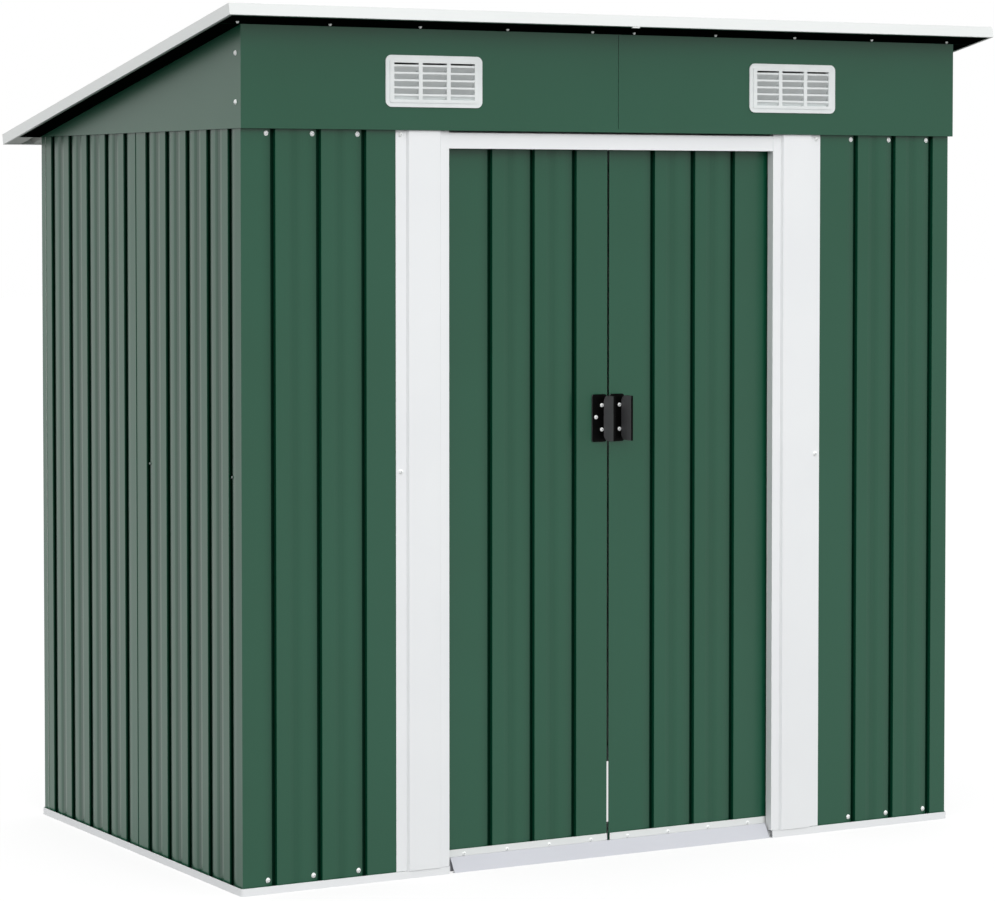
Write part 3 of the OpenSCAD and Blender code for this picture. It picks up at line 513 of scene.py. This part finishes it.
def row(first, count, pitch):
    """Evenly spaced places; millimetres in, metres out."""
    return [(first + i * pitch) * MM for i in range(count)]


# Faces that the screws sit on, with the sheet's thickness and how far the gable stands out from the wall
SHEET = 1 * MM
GABLE_STEP = 5 * MM
HANDLE_PLATE = 3 * MM
ROOF_PITCH = math.radians(11)
wall_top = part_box("front_left_panel")[1].z
corner_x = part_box("front_right_panel")[1].x
gable_face = corner_x + GABLE_STEP
door_lip_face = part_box("left_door_bottom_rail")[0].y
rear_third = 2 / 3 * corner_x
roof_third = 2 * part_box("roof_panel_middle")[1].x
roof_up = (0, math.sin(ROOF_PITCH), math.cos(ROOF_PITCH))
roof_down = (0, -math.sin(ROOF_PITCH), -math.cos(ROOF_PITCH))


def roof_z(y):
    """Height of the roof sheets' underside."""
    return wall_top + (wall_rear - y) * math.tan(ROOF_PITCH)


# Heights of the screw rows on the walls, the gables and the doors' bottom lips
LOW_ROW = 27.5 * MM
MIDDLE_ROW = 853 * MM
TOP_ROW = 1553.5 * MM
GABLE_ROWS = (1616 * MM, 1715 * MM)
LIP_ROW = 33.5 * MM
# Most wall screws sit on the sloping shoulder beside a groove
SHOULDER_BACK = 1.5 * MM
SHOULDER_LEAN = 0.19
# From the front edge to the gable's screws, from the middle to the jambs', and the roof's rows along Y
GABLE_INSET = 12 * MM
JAMB_SCREW = 523 * MM
ROOF_ROWS = (-565.5 * MM, -174 * MM, 206 * MM, 511 * MM)
# Millimetres along a sheet: the grooves' pitch and the first screw of each row
GROOVE_PITCH = 104
FRONT_FIRST = (-830, 619)
SIDE_FIRST = -487.5
REAR_FIRST = -193
FLANGE_FIRST = (-908, 28)
LIP_FIRST = {"left_door": -358, "right_door": 49}
LIP_PITCH = 104.5
# Millimetres from a handle's left edge and from the ground
HANDLE_PLACES = ((24, 975.5), (9.3, 950), (24, 923))
# Sizes of the heads that differ from the usual screw
SMALL_HEAD = {"Head_Radius": 2.6 * MM, "Head_Height": 1.6 * MM, "Washer_Radius": 3 * MM}
SCREW_END = {"Head_Radius": 3.2 * MM, "Washer_Radius": 3.6 * MM}
LIP_HEAD = {"Head_Radius": 4 * MM, "Head_Height": 1.8 * MM, "Washer_Radius": 4.6 * MM,
            "Washer_Thickness": 0.5 * MM}
HANDLE_HEAD = {"Head_Radius": 4.6 * MM, "Head_Height": 2.2 * MM, "Washer_Radius": 4.6 * MM,
               "Washer_Thickness": 0.4 * MM}

# Front sheets, jambs, side walls and gables
shed_marks = []
small_marks = []
for first in FRONT_FIRST:
    for x in row(first, 3, GROOVE_PITCH):
        for height in (LOW_ROW, TOP_ROW):
            shed_marks.append(((x, wall_front + SHOULDER_BACK, height), (SHOULDER_LEAN, -1, 0)))
for side in (-1, 1):
    for height in (MIDDLE_ROW, TOP_ROW):
        shed_marks.append(((side * JAMB_SCREW, wall_front - SHEET, height), (0, -1, 0)))
    for y in row(SIDE_FIRST, 2, 4 * GROOVE_PITCH):
        place = (side * (wall_side - SHOULDER_BACK), y, MIDDLE_ROW)
        small_marks.append((place, (side, SHOULDER_LEAN, 0)))
    for height in GABLE_ROWS:
        shed_marks.append(((side * gable_face, wall_front + GABLE_INSET, height), (side, 0, 0)))
# Rear wall and roof, which have three sheets each
for third in (-1, 0, 1):
    for x in row(REAR_FIRST, 2, 4 * GROOVE_PITCH):
        place = (third * rear_third + x, wall_rear - SHOULDER_BACK, MIDDLE_ROW)
        small_marks.append((place, (-SHOULDER_LEAN, 1, 0)))
    for x in row(-2 * GROOVE_PITCH, 3, 2 * GROOVE_PITCH):
        for y in ROOF_ROWS:
            shed_marks.append(((third * roof_third + x, y, roof_z(y) + SHEET), roof_up))
fit_screws("shed_screws", "shed", screw_white, shed_marks)
fit_screws("small_screws", "shed", screw_green, small_marks, **SMALL_HEAD)

# Ends of the screws that hold the fascia's flange under the roof
flange_y = ROOF_ROWS[0]
flange_marks = [((x, flange_y, roof_z(flange_y) - SHEET), roof_down)
                for first in FLANGE_FIRST for x in row(first, 5, 2 * GROOVE_PITCH)]
fit_screws("flange_screws", "shed", screw_white, flange_marks, **SCREW_END)

# Small flat heads along each door's bottom lip, and three on each handle's plate
for door, first in LIP_FIRST.items():
    lip_marks = [((x, door_lip_face, LIP_ROW), (0, -1, 0)) for x in row(first, 4, LIP_PITCH)]
    fit_screws(door + "_lip_screws", door, screw_white, lip_marks, **LIP_HEAD)
    low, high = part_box(door + "_handle")
    handle_marks = [((low.x + x * MM, high.y - HANDLE_PLATE, z * MM), (0, -1, 0)) for x, z in HANDLE_PLACES]
    fit_screws(door + "_handle_screws", door, screw_white, handle_marks, **HANDLE_HEAD)
